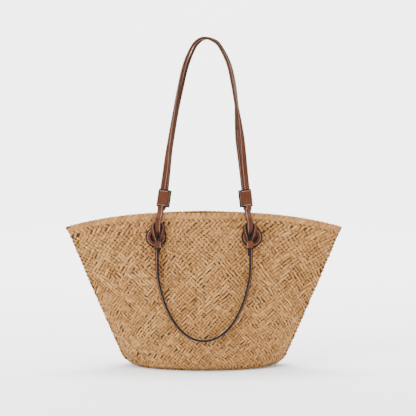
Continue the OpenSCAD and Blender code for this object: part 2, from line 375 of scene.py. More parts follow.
def weave_wall(wall, material):
    """The two families of strands that make the wall, each as two objects."""
    row_level, rows = level_of_rows(wall)
    over, open_zone = over_pattern(rows)
    at_rows = np.arange(rows + 1)
    row = np.arange(rows * STEPS + 1) / STEPS
    # Here and there the strands part and leave a small hole, dark with the core's painted shadow.
    thin = rng.random((STRANDS, rows + 1)) < np.where(open_zone, 0.10, 0.02)
    # Hand plaiting: the crossings wander, each by itself and in drifts.
    aside = 0.09 * rng.normal(0, 1, thin.shape) + 0.15 * soft_noise(rows, 2, 2)
    upward = 0.08 * rng.normal(0, 1, thin.shape) + 0.20 * soft_noise(rows, 3, 2)
    upward[:, :2] = upward[:, -3:] = 0
    lumps = 0.16 * rng.normal(0, 1, thin.shape) + 0.12 * soft_noise(rows, 4, 3)
    pitch = np.interp(row_level, np.linspace(0, 1, wall.levels), wall.length) / STRANDS
    scale = np.clip(pitch / 7.2, 0.62, 1.1)
    holes = [from_disc(side, face, 0, 0, 0) for side in (LEFT, RIGHT) for face in (FRONT, BACK)]

    def smooth(values):
        return np.interp(row, at_rows, values)

    made = {"rising": [], "falling": []}
    for family, way in (("rising", 1), ("falling", -1)):
        for k in range(STRANDS):
            crossed = (k - at_rows * (way < 0)) % STRANDS
            on_top = over[crossed, at_rows] == (way > 0)
            lift = np.sin(smooth(np.where(on_top, 1.0, -1.0)) * math.pi / 2)
            lumpy = smooth(lumps[crossed, at_rows] * np.where(on_top, 1, 0.4))
            height = (lift + lumpy) * WEAVE_HEIGHT
            fat = smooth(1 + rng.normal(0, 0.08, rows + 1) + rng.normal(0, 0.05)
                         - 0.40 * thin[crossed, at_rows])
            a = (k + way * 0.5 * row + smooth(aside[crossed, at_rows])) / STRANDS
            level = np.interp(row + smooth(upward[crossed, at_rows]), row, row_level)
            centre, normal = wall.at(level, a)
            # The plait parts and sinks where each strap goes through it, and is painted dark there
            # as shade.
            apart = np.min([np.linalg.norm(centre - hole, axis=1) for hole in holes], axis=0)
            sunk = ease((HOLE_D / 2 + 2.5 - apart) / 3)
            out = height * scale * (1 - 0.6 * sunk) - 2.6 * sunk
            centre = centre + normal * out[:, None]
            ahead = unit(np.gradient(centre, axis=0))
            half_width = pitch * 0.7071 * 0.5 * 0.97 * fat * (0.93 + 0.11 * lift)
            thick = STRAND_THICK * scale * (1 + 0.12 * lift)
            # Painted shade: lighter on the strand's crown, darker where it dips under its neighbour
            # and where it sinks round a strap's hole.
            light = (0.62 + 0.38 * lift) * (1 - 0.85 * sunk)
            tint = rng.random()
            made[family].append(strand_mesh(centre, normal, ahead, half_width, thick, tint, light))
    half = STRANDS // 2
    for family, strands in made.items():
        for part, chosen in (("a", strands[:half]), ("b", strands[half:])):
            obj = strands_object(f"{family}_strands_{part}", chosen, material)
            attach(obj, "basket", "straw", "woven_basket")


def weave_core(wall, material):
    """A thin dark sheet in the middle of the wall, painted as shadow, seen only in the chinks
    between the strands.
    """
    rows, around = slice(0, wall.levels, 3), slice(0, wall.around, 4)
    p, n = wall.p[rows, around], wall.n[rows, around]
    levels, count = p.shape[:2]
    points = np.concatenate([*(p + n * 0.15), *(p - n * 0.15)[::-1]])
    obj = make_mesh("weave_core", points, hollow_faces(2 * levels, count), [material])
    attach(obj, "basket", "straw", "woven_basket")


def rim_strand(wall, k):
    """One strand of the rim: it rises, turns over the edge and goes down the inside."""
    lean = 0.95 + rng.normal(0, 0.05)
    tint = rng.random()
    rise = np.array([0, 0.12, 0.3, 0.5, 0.7, 0.86])
    level = 1 - (1 - rise) * RIM_REACH / WALL_SLANT
    outside, normal = wall.at(level, (k + lean * rise) / STRANDS)
    lift = np.array([0.2, 1.2, 1.6, 1.7, 1.7, 1.6]) + rng.normal(0, 0.08)
    outer = outside + normal * lift[:, None]
    # The turn over the edge, half a circle flattened to the height of the rim.
    turn = 7
    top_a = np.full(turn, (k + lean) / STRANDS) + np.linspace(0, 0.25, turn) / STRANDS
    rim, rim_normal = wall.at(np.ones(turn), top_a)
    angle = np.linspace(0.05, 0.95, turn) * math.pi
    out, rising = np.cos(angle)[:, None], np.sin(angle)[:, None]
    up = np.array([0, 0, 1.0])
    fold = rim + rim_normal * (out * 1.9) + up * (rising * (RIM_TOP - WALL_TOP - 0.8))
    inner_level = 1 - np.array([0.15, 0.5, 1.0]) * RIM_REACH_INSIDE / WALL_SLANT
    inner_a = (k + lean + 0.25 + np.array([0.1, 0.4, 0.8])) / STRANDS
    inside, inside_normal = wall.at(inner_level, inner_a)
    inner = inside - inside_normal * np.array([1.9, 1.8, 0.9])[:, None]
    centre = np.concatenate([outer, fold, inner])
    facing = np.concatenate([normal, rim_normal * out + up * rising, -inside_normal])
    width = np.full(len(centre), wall.length[-1] / STRANDS * 0.49) * (1 + rng.normal(0, 0.05))
    width[0] *= 0.6
    # Painted shade: even on the outside with a little random tone, darker at the first point, low
    # against the wall.
    shade = 0.95 + rng.normal(0, 0.05, len(centre))
    shade[0] = 0.45
    # From the top of the turn its painted shade deepens down the inside.
    shade[len(outer) + 3:] = np.linspace(0.8, 0.1, len(centre) - len(outer) - 3)
    ahead = unit(np.gradient(centre, axis=0))
    return strand_mesh(centre, unit(facing), ahead, width, np.full(len(centre), 1.3), tint, shade)


def rim_fold(wall, material):
    """The top strands, turned over the rim."""
    obj = strands_object("rim_fold", [rim_strand(wall, k) for k in range(STRANDS)], material)
    attach(obj, "basket", "rim_straw", "rim_edge")


def base_strand(k, family, way, pitch):
    """One strand of the base, cut where its line crosses the oval, or None if it's short."""
    half_x, half_y = BASE_HALF_X + 1.5, BASE_HALF_Y + 1.5
    ahead = unit([1, way, 0])
    side = np.array([-ahead[1], ahead[0], 0])
    start = side * (k + 0.5) * pitch
    qa = (ahead[0] / half_x) ** 2 + (ahead[1] / half_y) ** 2
    qb = 2 * (start[0] * ahead[0] / half_x ** 2 + start[1] * ahead[1] / half_y ** 2)
    qc = (start[0] / half_x) ** 2 + (start[1] / half_y) ** 2 - 1
    root = qb * qb - 4 * qa * qc
    if root <= 0:
        return None
    low, high = (-qb - math.sqrt(root)) / (2 * qa), (-qb + math.sqrt(root)) / (2 * qa)
    if high - low < pitch:
        return None
    count = max(3, int((high - low) / pitch * 3))
    run = np.linspace(low, high, count)
    wave = np.sin((run / pitch) * math.pi + (k + family) * math.pi)
    centre = start + ahead * run[:, None] + np.array([0, 0, 1.0]) * (2.0 + 0.6 * wave)[:, None]
    normal = np.tile([0.0, 0, -1], (count, 1))
    return strand_mesh(centre, normal, np.tile(ahead, (count, 1)), np.full(count, pitch * 0.49),
                       np.full(count, 1.2), rng.random())


def base_mat(material):
    """The flat oval base: two families of strands at right angles, cut to the oval."""
    strands = [base_strand(k, family, way, 5.0)
               for family, way in enumerate((1, -1)) for k in range(-30, 31)]
    obj = strands_object("base_mat", [strand for strand in strands if strand], material)
    attach(obj, "basket", "straw")


# ---- materials
class Nodes:
    """A material under construction."""

    def __init__(self, name):
        self.material = bpy.data.materials.new(name)
        self.material.use_nodes = True
        self.tree = self.material.node_tree
        self.shader = self.tree.nodes["Principled BSDF"]

    def new(self, kind, **inputs):
        """A node of this kind, with its inputs given by their names."""
        node = self.tree.nodes.new("ShaderNode" + kind)
        for name, value in inputs.items():
            self.feed(value, node.inputs[name])
        return node

    def feed(self, value, socket):
        """Gives a socket a constant, a colour or another node's output."""
        if isinstance(value, tuple) and len(value) == 3 and len(socket.default_value) == 4:
            socket.default_value = (*value, 1)
        elif isinstance(value, (int, float, tuple)):
            socket.default_value = value
        else:
            self.tree.links.new(value, socket)

    def shade(self, **values):
        """Sets the shader's inputs, which are named without their spaces."""
        for socket in self.shader.inputs:
            if socket.name.replace(" ", "") in values:
                self.feed(values[socket.name.replace(" ", "")], socket)

    def place(self):
        """Where a point lies on the object, in metres."""
        return self.new("TexCoord").outputs["Object"]

    def attribute(self, name):
        """The values that a mesh gives its points under this name."""
        node = self.new("Attribute")
        node.attribute_name = name
        return node

    def maths(self, operation, a, b):
        """A sum or a product."""
        node = self.new("Math")
        node.operation = operation
        self.feed(a, node.inputs[0])
        self.feed(b, node.inputs[1])
        return node.outputs[0]

    def eased(self, value, share, least):
        """share of the value on top of least."""
        return self.maths("ADD", self.maths("MULTIPLY", value, share), least)

    def scaled(self, vector, scale):
        """A vector stretched along its axes."""
        node = self.new("VectorMath")
        node.operation = "MULTIPLY"
        self.feed(vector, node.inputs[0])
        self.feed(scale, node.inputs[1])
        return node.outputs[0]

    def ramp(self, value, stops):
        """A colour for each value, with stops of (value, colour)."""
        node = self.new("ValToRGB", Fac=value)
        elements = node.color_ramp.elements
        while len(elements) < len(stops):
            elements.new(0.5)
        for element, (place, colour) in zip(elements, stops):
            element.position = place
            element.color = (*colour, 1)
        return node.outputs[0]

    def noise(self, vector, scale, detail=3.0, rough=0.5):
        node = self.new("TexNoise", Vector=vector, Scale=scale, Detail=detail, Roughness=rough)
        return node.outputs["Fac"]

    def darkened(self, factor, a, b):
        """Colour a multiplied by colour b, as far as factor says."""
        node = self.new("Mix")
        node.data_type = "RGBA"
        node.blend_type = "MULTIPLY"
        for k, value in ((0, factor), (6, a), (7, b)):
            self.feed(value, node.inputs[k])
        return node.outputs[2]

    def bump(self, height, strength, distance):
        node = self.new("Bump", Height=height, Strength=strength, Distance=distance)
        self.feed(node.outputs[0], self.shader.inputs["Normal"])


WHITE = (1.0, 1.0, 1.0)


def straw_material(name, light, middle, dark, painted_shade_amount=0.95):
    """Dry palm leaf: each strand has its own tone and fine fibres along it, with painted shade at
    its edges and where it dips.
    """
    m = Nodes(name)
    grain = m.attribute("grain").outputs["Vector"]
    strand_tone = m.new("SeparateXYZ", Vector=grain).outputs[2]
    fibres = m.noise(m.scaled(grain, (0.10, 2.6, 53.0)), 1.0, 5.0, 0.7)
    creases = m.noise(m.scaled(grain, (0.05, 0.9, 31.0)), 1.0, 3.0, 0.6)
    blotch = m.noise(m.scaled(grain, (0.05, 0.06, 17.0)), 1.0, 3.0, 0.6)
    tone = m.eased(strand_tone, 0.36, m.maths("MULTIPLY", blotch, 0.60))
    colour = m.ramp(tone, [(0.20, dark), (0.47, middle), (0.78, light)])
    streak = m.ramp(fibres, [(0.36, (0.54, 0.49, 0.42)), (0.60, WHITE)])
    colour = m.darkened(0.7, colour, streak)
    fold = m.ramp(creases, [(0.34, (0.60, 0.54, 0.47)), (0.50, WHITE)])
    colour = m.darkened(0.6, colour, fold)
    # Painted shade, from each point's shade value: darkest at the strands' edges, undersides and
    # dips.
    depth = m.ramp(m.attribute("shade").outputs["Fac"],
                   [(0.05, (0.11, 0.085, 0.06)), (0.42, (0.60, 0.555, 0.50)), (0.85, WHITE)])
    m.shade(BaseColor=m.darkened(painted_shade_amount, colour, depth), Roughness=m.eased(fibres, 0.3, 0.5),
            SpecularIORLevel=0.1)
    m.bump(m.maths("ADD", fibres, creases), 0.8, 0.0006)
    return m.material


def leather_material(name, base, deep, pore=900.0, rough_low=0.58):
    """Smooth calf leather: a warm brown that varies softly, with fine pores and creases."""
    m = Nodes(name)
    place = m.place()
    wide = m.noise(place, 38.0, 4.0)
    fine = m.noise(place, pore, 2.0)
    colour = m.ramp(wide, [(0.3, deep), (0.68, base)])
    speck = m.ramp(fine, [(0.38, (0.78, 0.72, 0.68)), (0.6, WHITE)])
    cells = m.new("TexVoronoi", Vector=place, Scale=pore * 1.3).outputs["Distance"]
    m.shade(BaseColor=m.darkened(0.5, colour, speck), Roughness=m.eased(wide, 0.2, rough_low),
            SpecularIORLevel=0.13)
    m.bump(m.maths("ADD", cells, fine), 0.35, 0.00012)
    return m.material


def paint_material(name, dark, worn):
    """Edge paint: nearly black, a little worn where it rubs."""
    m = Nodes(name)
    patch = m.noise(m.place(), 260.0, 3.0)
    m.shade(BaseColor=m.ramp(patch, [(0.5, dark), (0.8, worn)]),
            Roughness=m.eased(patch, 0.3, 0.45), SpecularIORLevel=0.12)
    m.bump(patch, 0.3, 0.0002)
    return m.material


def thread_material(name, pale, shade):
    """Twisted sewing thread."""
    m = Nodes(name)
    twist = m.noise(m.place(), 1500.0, 2.0)
    m.shade(BaseColor=m.ramp(twist, [(0.35, shade), (0.65, pale)]),
            Roughness=m.eased(twist, 0.2, 0.6))
    m.bump(twist, 0.6, 0.0002)
    return m.material


def shadow_material(name, light, dark):
    """Painted shadow for straw deep in the wall: dull, and coloured dark as if shaded by what lies
    over it.
    """
    m = Nodes(name)
    patch = m.noise(m.place(), 420.0, 3.0)
    m.shade(BaseColor=m.ramp(patch, [(0.35, dark), (0.7, light)]), Roughness=0.95,
            SpecularIORLevel=0.1)
    m.bump(patch, 0.5, 0.0004)
    return m.material


def plain_material(name, colour):
    """One dull colour all over."""
    m = Nodes(name)
    m.shade(BaseColor=colour, Roughness=0.9)
    return m.material


STRAW = straw_material("straw", (0.60, 0.335, 0.134), (0.445, 0.230, 0.082), (0.285, 0.135, 0.044))
RIM_STRAW = straw_material("rim_straw", (0.50, 0.265, 0.097), (0.40, 0.198, 0.066),
                           (0.29, 0.135, 0.041), 0.6)
LEATHER = leather_material("strap_leather", (0.088, 0.027, 0.0105), (0.055, 0.016, 0.006))
KEEPER_LEATHER = leather_material("keeper_leather", (0.086, 0.0275, 0.0115), (0.056, 0.017, 0.007))
HANDLE_LEATHER = leather_material("handle_leather", (0.090, 0.028, 0.0095), (0.056, 0.016, 0.0056))
SUEDE = leather_material("backing_suede", (0.34, 0.19, 0.11), (0.26, 0.14, 0.08), 500.0, 0.75)
BROWN_EDGE = paint_material("brown_edge", (0.05, 0.018, 0.009), (0.09, 0.032, 0.014))
BLACK_EDGE = paint_material("black_edge", (0.005, 0.005, 0.006), (0.016, 0.011, 0.010))
CHINK_SHADOW = shadow_material("shaded_straw", (0.085, 0.050, 0.026), (0.040, 0.024, 0.013))
THREAD = thread_material("pale_thread", (0.47, 0.315, 0.26), (0.32, 0.20, 0.16))


# ---- leather
# Faces within this distance of a strip's long edges are painted.
PAINTED = 0.75
# A stitch's swelling at shares of its length, and the corners round it.
STITCH_SHAPE = ((0.0, 0.25), (0.12, 0.85), (0.5, 1.0), (0.88, 0.85), (1.0, 0.25))
STITCH_CORNERS = np.linspace(0, 2 * math.pi, 7)[:-1]


def strip_section(w, t, bevel=0.7):
    """A flat strap's section with softly rounded edges, anticlockwise."""
    hw, ht = w / 2, t / 2
    b = min(bevel, ht * 0.9)
    cut = b * 0.3
    half = [(-hw + b, -ht), (-hw * 0.4, -ht), (hw * 0.4, -ht), (hw - b, -ht), (hw - cut, -ht + cut),
            (hw, -ht + b), (hw, ht - b), (hw - cut, ht - cut)]
    return np.array(half + [(-x, -y) for x, y in half])


def strip(name, points, width_dirs, w, t, face_leather, edge_paint, narrowing=None):
    """A leather strip along a route. Faces near its two long edges take the edge paint.
    narrowing gives the share of the full width at each point."""
    section = strip_section(w, t)
    side, up = frames_along(points, width_dirs)
    wide = np.ones(len(points)) if narrowing is None else narrowing
    rings = (points[:, None] + side[:, None] * section[None, :, :1] * wide[:, None, None]
             + up[:, None] * section[None, :, 1:])
    middle = (section + np.roll(section, -1, axis=0)) / 2
    is_edge = (np.abs(middle[:, 0]) > w / 2 - PAINTED).astype(int)
    material = [*np.tile(is_edge, len(points) - 1), 1, 1]
    return make_mesh(name, rings.reshape(-1, 3), tube_faces(len(points), len(section)),
                     [face_leather, edge_paint], material)


def stitch_row(points, side, up, offset, lift, pitch=3.4, length=2.5, thick=0.38):
    """Raised stitches along a route, offset across it and lifted off its middle."""
    run, out_points, out_faces = run_along(points), [], []

    def at(values, where):
        return np.array([np.interp(where, run, column) for column in values.T])

    for start in np.arange(pitch * 0.5, run[-1] - length, pitch):
        first = len(out_points)
        for share, swell in STITCH_SHAPE:
            where = start + share * length
            o, s, u = at(points, where), at(side, where), at(up, where)
            sink = lift - 0.44 * (1 - swell)
            for c in STITCH_CORNERS:
                out_points.append(o + s * (offset + math.cos(c) * thick * swell)
                                  + u * (sink + math.sin(c) * thick * swell * 0.8))
        out_faces += tube_faces(len(STITCH_SHAPE), len(STITCH_CORNERS), first)
    return out_points, out_faces


def stitches(name, rows, material):
    """Rows of stitches as one object."""
    points, faces = [], []
    for row_points, row_faces in rows:
        first = len(points)
        points += row_points
        faces += [[i + first for i in f] for f in row_faces]
    return make_mesh(name, points, faces, [material])


# A disc's place, width, thickness and hole, and how far it leans with the wall and turns.
DISC_X, DISC_Z, DISC_D, DISC_T, HOLE_D = 80.0, 218.0, 35.6, 2.4, 15.6
DISC_LEAN, DISC_TURN = math.radians(11), math.radians(8.5)
DISC_Y = wall_depth(DISC_X, DISC_Z) + 0.6
# The straps' widths and thicknesses. The large keepers' foot, leather, height and fin, and
# how much wider and deeper they are inside than the two straps.
STRAP_W, STRAP_T, HANDLE_W, HANDLE_T = 10.0, 4.5, 9.2, 3.4
KEEPER_Z, KEEPER_T, KEEPER_H, FIN_W = 267.6, 1.8, 29.0, 3.8
KEEPER_ROOM_W, KEEPER_ROOM_D = 4.8, 1.6
# A long strap from its tail inside, out through the hole and up, as (outwards in X, out of
# the wall, up it) from the disc; over the rim, as (X, Y, Z); under the keeper, as (Y, Z).
LEAD_ROUTE = [[-1, -9.8, -24], [-1, -9.8, -14], [-1, -9.8, -6.5], [-1, -8.4, -2.6], [-1, -5, -0.6],
              [-0.6, -1, -0.2], [-0.4, 2.4, 0.1], [-2.2, 5.2, 3.2], [-3.2, 9, 7.2],
              [-3.5, 13.8, 12.4], [-3.5, 18, 18], [-4, 19.8, 23], [-5, 19.9, 28], [-6, 17, 31.8]]
OVER_RIM = [[73.6, 17.6, 256.6], [73.0, 12.0, 261.6]]
UNDER_KEEPER = [6.0, 265.6]
# The middle of the long straps' arch as (X, Z), close to the CAD model's. At each point:
# how far the straps lie to either side of it, their turn, and half the gap between them.
ARCH_ROUTE = [[-71, 266.8], [-66.2, 299], [-62, 332], [-57.8, 365], [-47.4, 426], [-39.6, 465],
              [-30.8, 503], [-18.8, 532], [-8, 545], [4, 549], [15.5, 545.5], [26, 537], [41, 508],
              [49.3, 473], [54.6, 435], [59.8, 385], [64.3, 345], [68.7, 305], [73, 266.8]]
ARCH_SPREAD = [2, 2, 1.2, 0.7, 1.2, 2.2, 2.6, 2.4, 1.6, 0, -1, -1.3, -1.4, -1.4, 0, 2.6, 2.4, 2.1, 2]
ARCH_TWIST = [0, 0, 10, 42, 65, 75, 80, 88, 90, 90, 90, 88, 80, 75, 68, 35, 5, 0, 0]
ARCH_GAP = [2.6, 2.6, 2.9, 3.7, *[5.4] * 10, 5.7, 4.6, 2.8, 2.6, 2.6]
# The middle of a handle's loop, across and off the wall from its disc. Its route round the
# lead as (across, up), and how far the leather turns at each point, from the tail on.
LOOP_X, LOOP_N = -3.5, 10.2
LOOP_ROUTE = [[1.9, -14], [1.9, -8], [4.6, -1.5], [7.2, 6], [8.6, 14], [6.6, 20], [0, 22.5],
              [-6.6, 20], [-8.6, 14], [-7.2, 6], [-4.6, -1.5], [-1.9, -8], [-1.9, -14], [-1.9, -20],
              [-1.9, -28]]
LOOP_TURN = [0, 0, 4, 24, 34, 34, 20, 0, -20, -34, -34, -24, -14, -20, -26, -28]
LEFT_TAIL_T, RIGHT_TAIL_T = -27.0, -32.0
SMALL_KEEPER_T, SMALL_KEEPER_H, SMALL_LEATHER = -8.0, 14.0, 1.4
# A handle hangs as half an ellipse, this far off the wall.
HANDLE_HALF = DISC_X + LOOP_X + 1.9
HANDLE_TOP_Z, HANDLE_LOW_Z, HANDLE_STAND = 190.0, 50.0, 7.0


def from_disc(side, face, x, n, t):
    """A point x outwards from a disc's centre, n out of the wall and t up it."""
    return np.array([side * (DISC_X + x),
                     face * (DISC_Y + n * math.cos(DISC_LEAN) - t * math.sin(DISC_LEAN)),
                     DISC_Z + n * math.sin(DISC_LEAN) + t * math.cos(DISC_LEAN)])


def disc_axes(side, face, turn=DISC_TURN):
    """Centre, outward-in-X, out of the wall, and up the wall."""
    c, s = math.cos(turn), math.sin(turn)
    cl, sl = math.cos(DISC_LEAN), math.sin(DISC_LEAN)
    return (np.array([side * DISC_X, face * DISC_Y, DISC_Z]),
            np.array([side * c, -face * s, 0.0]),
            np.array([side * s * cl, face * c * cl, sl]),
            np.array([-side * s * sl, -face * c * sl, cl]))


def turned(middle, frame_axes):
    """Points given as (x, t, n) in a disc's frame, in the shared frame."""
    centre, ex, en, et = frame_axes
    middle = np.asarray(middle, float)
    return centre + middle[:, :1] * ex + middle[:, 1:2] * et + middle[:, 2:3] * en


def ring_solid(name, section, axes, materials, bands):
    """A closed ring with a section of (radius, height) points, and bands of materials."""
    count = 72
    angle = np.linspace(0, 2 * math.pi, count + 1)[:-1]
    pts = np.array([(r * math.cos(a), r * math.sin(a), h) for a in angle for r, h in section])
    faces = hollow_faces(count, len(section))[:, [0, 3, 2, 1]]
    return make_mesh(name, turned(pts, axes), faces, materials, bands * count)


def stitch_ring(axes, radius, height, count, length=2.3, thick=0.4):
    """Raised stitches in a circle round a disc."""
    points, faces = [], []
    for k in range(count):
        first = len(points)
        for share, swell in STITCH_SHAPE:
            a = 2 * math.pi * k / count + (share - 0.5) * length / radius
            for c in STITCH_CORNERS:
                r = radius + math.cos(c) * thick * swell
                h = height - 0.3 * (1 - swell) + math.sin(c) * thick * swell * 0.8
                points.append((r * math.cos(a), r * math.sin(a), h))
        faces += tube_faces(len(STITCH_SHAPE), len(STITCH_CORNERS), first)
    return list(turned(points, axes)), faces


def make_disc(side, face, where):
    """The leather ring round a strap's hole, with a groove for its stitches."""
    axes = disc_axes(side, face)
    r, hole, top = DISC_D / 2, HOLE_D / 2, DISC_T
    section = [(hole + 0.5, 0.1), (r - 0.8, 0.1), (r, 0.5), (r, top - 1.0), (r - 0.3, top - 0.35),
               (r - 0.95, top), (r - 1.7, top - 0.02), (r - 3.0, top - 0.1), (r - 3.6, top - 0.35),
               (r - 4.2, top - 0.1), (hole + 2.1, top + 0.15), (hole + 1.6, top),
               (hole + 0.3, top - 0.4), (hole, top - 0.9), (hole, 0.6)]
    bands = [0, 1, 1, 1, 1, 1, 0, 0, 0, 0, 0, 1, 1, 1, 1]
    disc = ring_solid(f"{where}_disc_leather", section, axes, [LEATHER, BLACK_EDGE], bands)
    attach(disc, "basket", "disc_leather", f"{where}_disc")
    sewn = stitches(f"{where}_disc_stitches", [stitch_ring(axes, r - 3.6, top - 0.02, 28)], THREAD)
    attach(sewn, "basket", "pale_thread")


def make_backing(side, face, where):
    """The suede patch inside, which the strap's tail is sewn to."""
    half = 25
    upper, lower = np.linspace(0, math.pi, half), np.linspace(math.pi, 2 * math.pi, half)
    outline = np.array([(14 * math.cos(a), 14 * math.sin(a)) for a in upper]
                       + [(11.5 * math.cos(a), -18 + 11 * math.sin(a)) for a in lower])
    centre = outline.mean(0)
    angle = np.linspace(0, 2 * math.pi, 2 * half + 1)[:-1]
    hole = (HOLE_D / 2 + 0.1) * np.stack([np.cos(angle), np.sin(angle)], 1)
    low, high = -6.6, -5.0
    rings = [(hole, low), (centre + (outline - centre) * 0.97, low), (outline, low + 0.4),
             (outline, high - 0.3), (centre + (outline - centre) * 0.98, high), (hole, high)]
    pts = np.concatenate([np.column_stack([p, np.full(len(p), h)]) for p, h in rings])
    patch = make_mesh(f"{where}_backing_patch", turned(pts, disc_axes(side, face)),
                      hollow_faces(len(rings), 2 * half), [SUEDE])
    attach(patch, "basket", "backing_leather", f"{where}_backing")


def shoulder_route(face):
    """The whole of one shoulder strap, from its left tail to its right one."""
    steps = 4
    middle, spread = curve(ARCH_ROUTE, steps), curve(ARCH_SPREAD, steps)
    twist, gap = np.radians(curve(ARCH_TWIST, steps)), curve(ARCH_GAP, steps)[:, 0]
    zero = np.zeros(len(middle))
    d = unit(np.gradient(middle, axis=0))
    outward = np.stack([-d[:, 1], zero, d[:, 0]], 1)
    arch = np.stack([middle[:, 0], zero, middle[:, 1]], 1) - outward * (face * spread)
    arch[:, 1] += face * gap
    arch_dirs = outward * np.cos(twist) + np.array([0, 1.0, 0]) * np.sin(twist)
    ends = {}
    for side, foot in ((LEFT, arch[0]), (RIGHT, arch[-1])):
        ends[side] = [from_disc(side, face, *p) for p in LEAD_ROUTE]
        ends[side] += [np.array([side * x, face * y, z]) for x, y, z in OVER_RIM]
        ends[side].append(np.array([foot[0], face * UNDER_KEEPER[0], UNDER_KEEPER[1]]))
    left, right = ends[LEFT], ends[RIGHT][::-1]
    keep = slice(2, -2)
    route = [*left, *arch[keep], *right]
    dirs = [*[[-1.0, 0, 0]] * len(left), *arch_dirs[keep], *[[1.0, 0, 0]] * len(right)]
    return curve(route, 2), unit(curve(dirs, 2))


def make_shoulder_strap(face, word):
    """A long strap and its stitches."""
    points, dirs = shoulder_route(face)
    # Gathered where it goes through its hole and between the sides of the loop.
    gathered = np.exp(-((points[:, 2] - DISC_Z - 4) / 9.5) ** 2) * (np.abs(points[:, 1]) > 9)
    strap = strip(f"{word}_strap_leather", points, dirs, STRAP_W, STRAP_T, LEATHER, BROWN_EDGE,
                  1 - 0.42 * gathered)
    side, up = frames_along(points, dirs)
    rows = [stitch_row(points, side, up, -STRAP_W / 2 + 2.4, lift * (STRAP_T / 2 + 0.02))
            for lift in (-1, 1)]
    sewn = stitches(f"{word}_strap_stitches", rows, THREAD)
    for piece, slot in ((strap, "strap_leather"), (sewn, "pale_thread")):
        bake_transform(piece)
    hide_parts(f"{word}_shoulder_strap", f"{word}_left_lead", f"{word}_right_lead")


def sleeve(name, place, room, h, thick, leather, lips):
    """A slightly pillowed leather sleeve. place is its foot and its directions across, deep
    and along, room its inner width and depth, and lips how far its painted ends reach."""
    origin, across, deep, along = place
    count = 40
    low, top = lips
    heights = np.array([0, 0.35, low, h * 0.3, h * 0.5, h * 0.7, h - top, h - 0.35, h])
    angle = np.linspace(0, 2 * math.pi, count + 1)[:-1]
    c, s = np.cos(angle), np.sin(angle)
    loop = np.stack([np.sign(c) * np.abs(c) ** (1 / 3), np.sign(s) * np.abs(s) ** (1 / 3)], 1)
    half = np.array(room) / 2
    rings = []
    for z in heights:
        swell = -0.35 if z in (0, h) else 0.25 * math.sin(math.pi * z / h)
        rings.append((loop * (half + thick + swell), z))
    rings += [(loop * half, z) for z in heights[::-1]]
    total, last = len(rings), len(heights)
    painted = (0, 1, last - 3, last - 2, last - 1, total - 1)
    points = [origin + p[:, :1] * across + p[:, 1:] * deep + z * along for p, z in rings]
    material = [int(k in painted) for k in range(total) for _ in range(count)]
    return make_mesh(name, np.concatenate(points), hollow_faces(total, count),
                     [leather, BLACK_EDGE], material)


def fin_strip(name, place, x0, x1, y, h, leather):
    """The sleeve's two ends sewn together: a thick fin, painted along its outer edge."""
    origin, across, deep, along = place
    way = math.copysign(1, x1 - x0)
    section = [(x0, -y), (x1 - way * 2.7, -y), (x1 - way * 0.5, -y), (x1, -y + 0.6), (x1, y - 0.6),
               (x1 - way * 0.5, y), (x1 - way * 2.7, y), (x0, y)]
    heights = [0, 0.4, 1.2, h * 0.5, h - 1.0, h - 0.4, h]
    points = []
    for z in heights:
        tuck = 0.35 if z in (0, h) else 0.0
        for x, v in section:
            points.append(origin + (x - way * tuck) * across
                          + (v - math.copysign(tuck, v)) * deep + z * along)
    n, rows = len(section), len(heights) - 1
    material = [int(0 < i < 6 or k in (0, 1, rows - 1)) for k in range(rows) for i in range(n)]
    return make_mesh(name, points, tube_faces(rows + 1, n), [leather, BLACK_EDGE],
                     [*material, 1, 1])


def keeper_stitches(place, side, room_w, room_d):
    """One row of stitches down each side of the fin, and one round each end of the sleeve."""
    origin, across, deep, along = place
    line = np.array([origin + across * (-side * (room_w / 2 + KEEPER_T + 1.0)) + along * z
                     for z in np.linspace(0.6, KEEPER_H - 0.4, 12)])
    s, u = frames_along(line, np.tile(across, (len(line), 1)))
    lifts = (-KEEPER_T - 0.05, KEEPER_T + 0.05)
    rows = [stitch_row(line, s, u, 0, lift, 2.7, 2.0) for lift in lifts]
    for z in (3.4, KEEPER_H - 2.2):
        for face in (FRONT, BACK):
            start = origin + along * z + deep * face * (room_d / 2 + KEEPER_T + 0.08)
            line = np.array([start + across * x
                             for x in np.linspace(-room_w / 2 - 0.6, room_w / 2 + 0.6, 10)])
            s, u = frames_along(line, np.tile(along, (len(line), 1)))
            rows.append(stitch_row(line, s, u, 0, 0.1, 2.7, 2.0))
    return rows


def make_big_keeper(side, word):
    """The sleeve that slides on both long straps, with its fin towards the middle."""
    foot, above = ARCH_ROUTE[:2] if side == LEFT else ARCH_ROUTE[:-3:-1]
    along = unit([above[0] - foot[0], 0, above[1] - foot[1]])
    deep = np.array([0, 1.0, 0])
    place = (np.array([foot[0], 0, KEEPER_Z]), unit(np.cross(deep, along)), deep, along)
    room_w, room_d = STRAP_W + KEEPER_ROOM_W, 2 * STRAP_T + KEEPER_ROOM_D
    body = f"{word}_keeper"
    tube = sleeve(f"{body}_leather", place, (room_w, room_d), KEEPER_H, KEEPER_T, KEEPER_LEATHER,
                  (2.5, 1.2))
    attach(tube, body, "keeper_leather", body)
    wide = room_w / 2 + KEEPER_T
    fin = fin_strip(f"{body}_fin", place, -side * (wide - 0.6), -side * (wide + FIN_W), KEEPER_T,
                    KEEPER_H, KEEPER_LEATHER)
    attach(fin, body, "keeper_leather")
    sewn = stitches(f"{body}_stitches", keeper_stitches(place, side, room_w, room_d), THREAD)
    attach(sewn, body, "pale_thread")


def handle_end(side, face, tail):
    """The loop of a handle round its lead, from its tail to where the handle hangs."""
    out = np.array([0, face * math.cos(DISC_LEAN), math.sin(DISC_LEAN)])
    aside = np.array([side, 0, 0.0])
    route = [[1.9, tail], *LOOP_ROUTE]
    points = [from_disc(side, face, LOOP_X - x, LOOP_N, t) for x, t in route]
    return points, [out * math.cos(a) + aside * math.sin(a) for a in np.radians(LOOP_TURN)]


